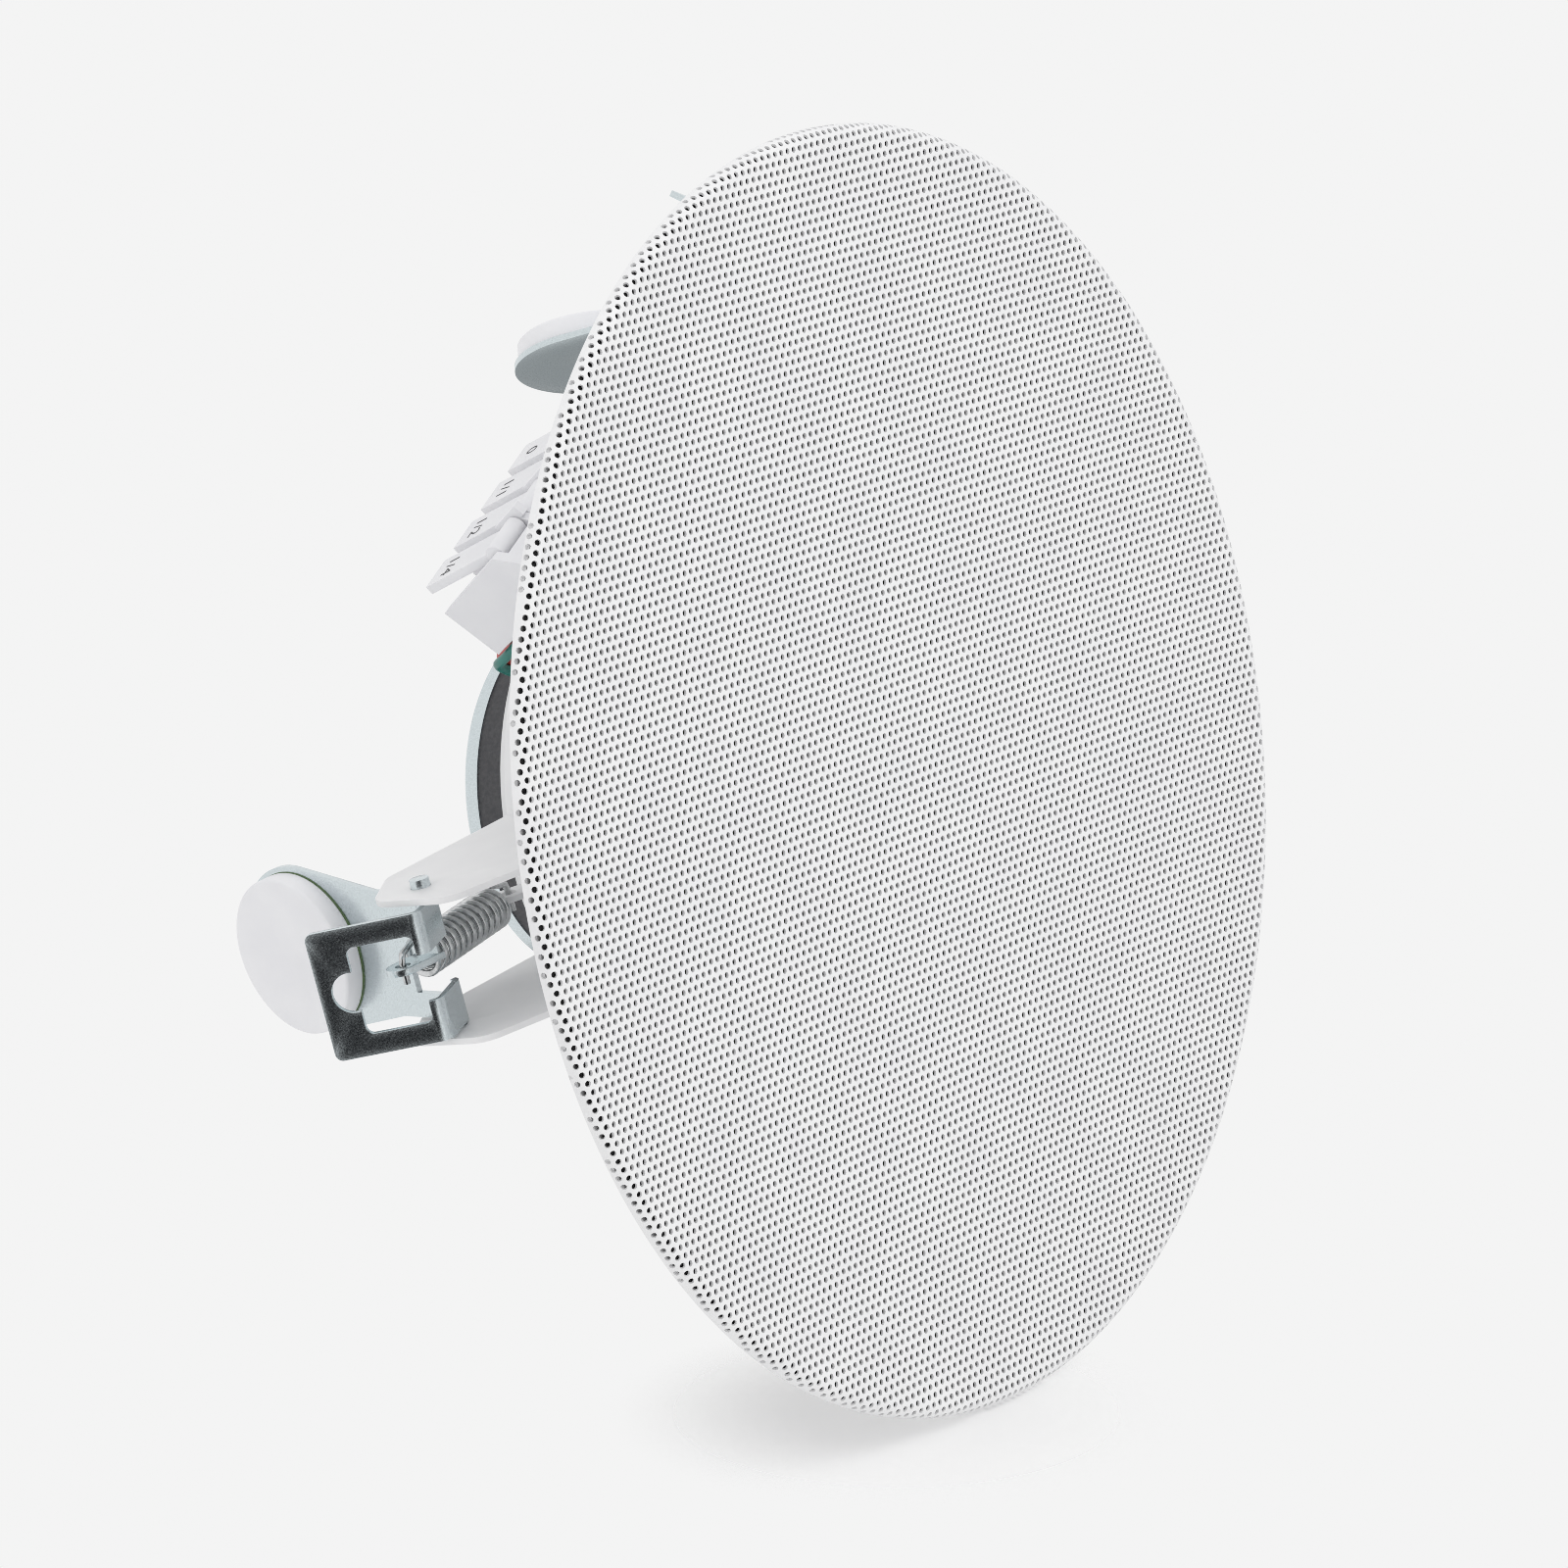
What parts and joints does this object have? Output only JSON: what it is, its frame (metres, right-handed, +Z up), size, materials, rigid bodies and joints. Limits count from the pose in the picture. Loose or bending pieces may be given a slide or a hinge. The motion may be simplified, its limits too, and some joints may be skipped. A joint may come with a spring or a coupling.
{
  "type": "in ceiling speaker",
  "caption": "Round flush ceiling speaker with a perforated white grille, magnet driver, sprung clamp flaps, lever terminal block and line transformer.",
  "frame": {"origin": "centre of the mounting ring's ceiling face, the plane that meets the underside of the ceiling", "axes": "+Z up into the ceiling void and the grille facing down along -Z; X and Y across the round face"},
  "size_m": [0.1988, 0.1988, 0.0811],
  "materials": {
    "white_metal": "smooth white powder coat",
    "white_plastic": "satin",
    "black_cloth": "woven",
    "dark_rubber": "matte",
    "cone_paper": "pressed paper",
    "winding_wire": "enamelled",
    "spider_cloth": "woven",
    "zinc": "zinc plated",
    "spring_steel": "bright",
    "ferrite": "matte sintered",
    "core_steel": "laminated",
    "winding_tape": "taped",
    "tag_board": "pressed board",
    "tinned_brass": "tinned",
    "lead_red": "satin",
    "lead_teal": "satin",
    "lead_white": "satin",
    "lead_black": "satin"
  },
  "bodies": {
    "frame": {"grille": "white_metal", "grille_cloth": "black_cloth", "mounting_ring": "white_metal", "driver_gasket": "dark_rubber", "basket": "white_metal", "surround": "dark_rubber", "spider": "spider_cloth", "top_plate": "zinc", "magnet": "ferrite", "back_plate": "zinc", "motor_rivets": "zinc", "driver_screws": "zinc", "clip_rivets": "zinc", "terminal_body": "white_plastic", "terminal_screws": "zinc", "transformer_core": "core_steel", "transformer_winding": "winding_tape", "transformer_strap": "zinc", "transformer_rivets": "zinc", "tag_strip": "tag_board", "solder_tags": "tinned_brass", "line_lead_1": "lead_teal", "line_lead_2": "lead_red", "line_lead_3": "lead_white", "line_lead_4": "lead_black", "driver_lead_1": "lead_red", "driver_lead_2": "lead_black", "clip_bracket_1": "white_metal", "clip_bracket_2": "white_metal", "clip_bracket_3": "white_metal"},
    "flap_1": {"flap_1": "zinc", "pad_1": "white_plastic"},
    "clip_spring_1": {"clip_spring_1": "spring_steel"},
    "flap_2": {"flap_2": "zinc", "pad_2": "white_plastic"},
    "clip_spring_2": {"clip_spring_2": "spring_steel"},
    "flap_3": {"flap_3": "zinc", "pad_3": "white_plastic"},
    "clip_spring_3": {"clip_spring_3": "spring_steel"},
    "lever_1": {"terminal_lever_1": "white_plastic"},
    "lever_2": {"terminal_lever_2": "white_plastic"},
    "lever_3": {"terminal_lever_3": "white_plastic"},
    "lever_4": {"terminal_lever_4": "white_plastic"},
    "cone_unit": {"cone": "cone_paper", "dust_cap": "cone_paper", "voice_coil": "winding_wire"}
  },
  "joints": [
    {"name": "flap_1_swing", "type": "hinge", "parent": "frame", "child": "flap_1", "pos_m": [-0.07381, 0.02643, 0.0313], "axis": [-0.3371, -0.9415, 0], "range_deg": [0, 128], "deforming": ["clip_spring_1"]},
    {"name": "clip_spring_1_swing", "type": "hinge", "parent": "frame", "child": "clip_spring_1", "pos_m": [-0.0475, 0.01701, 0.03821], "axis": [-0.3371, -0.9415, 0], "range_deg": [-1, 19.3]},
    {"name": "flap_2_swing", "type": "hinge", "parent": "frame", "child": "flap_2", "pos_m": [0.01402, -0.07714, 0.0313], "axis": [0.9839, 0.1788, 0], "range_deg": [0, 128], "deforming": ["clip_spring_2"]},
    {"name": "clip_spring_2_swing", "type": "hinge", "parent": "frame", "child": "clip_spring_2", "pos_m": [0.00902, -0.04964, 0.03821], "axis": [0.9839, 0.1788, 0], "range_deg": [-1, 19.3]},
    {"name": "flap_3_swing", "type": "hinge", "parent": "frame", "child": "flap_3", "pos_m": [0.05979, 0.05071, 0.0313], "axis": [-0.6468, 0.7627, 0], "range_deg": [0, 128], "deforming": ["clip_spring_3"]},
    {"name": "clip_spring_3_swing", "type": "hinge", "parent": "frame", "child": "clip_spring_3", "pos_m": [0.03848, 0.03263, 0.03821], "axis": [-0.6468, 0.7627, 0], "range_deg": [-1, 19.3]},
    {"name": "lever_1_press", "type": "hinge", "parent": "frame", "child": "lever_1", "pos_m": [-0.02837, -0.05504, 0.03402], "axis": [-0.7604, 0.6494, 0], "range_deg": [0, 10], "stiffness_Nm_per_rad": 0.02},
    {"name": "lever_2_press", "type": "hinge", "parent": "frame", "child": "lever_2", "pos_m": [-0.03555, -0.0489, 0.03402], "axis": [-0.7604, 0.6494, 0], "range_deg": [0, 10], "stiffness_Nm_per_rad": 0.02},
    {"name": "lever_3_press", "type": "hinge", "parent": "frame", "child": "lever_3", "pos_m": [-0.04274, -0.04276, 0.03402], "axis": [-0.7604, 0.6494, 0], "range_deg": [0, 10], "stiffness_Nm_per_rad": 0.02},
    {"name": "lever_4_press", "type": "hinge", "parent": "frame", "child": "lever_4", "pos_m": [-0.04992, -0.03663, 0.03402], "axis": [-0.7604, 0.6494, 0], "range_deg": [0, 10], "stiffness_Nm_per_rad": 0.02},
    {"name": "cone_travel", "type": "slide", "parent": "frame", "child": "cone_unit", "axis": [0, 0, 1], "range_m": [-0.0025, 0.0025], "stiffness_N_per_m": 1500, "deforming": ["surround", "spider"]}
  ],
  "couplings": [
    {"joint": "clip_spring_1_swing", "follows": "flap_1_swing", "ratio": 0.143},
    {"joint": "clip_spring_2_swing", "follows": "flap_2_swing", "ratio": 0.143},
    {"joint": "clip_spring_3_swing", "follows": "flap_3_swing", "ratio": 0.143}
  ]
}
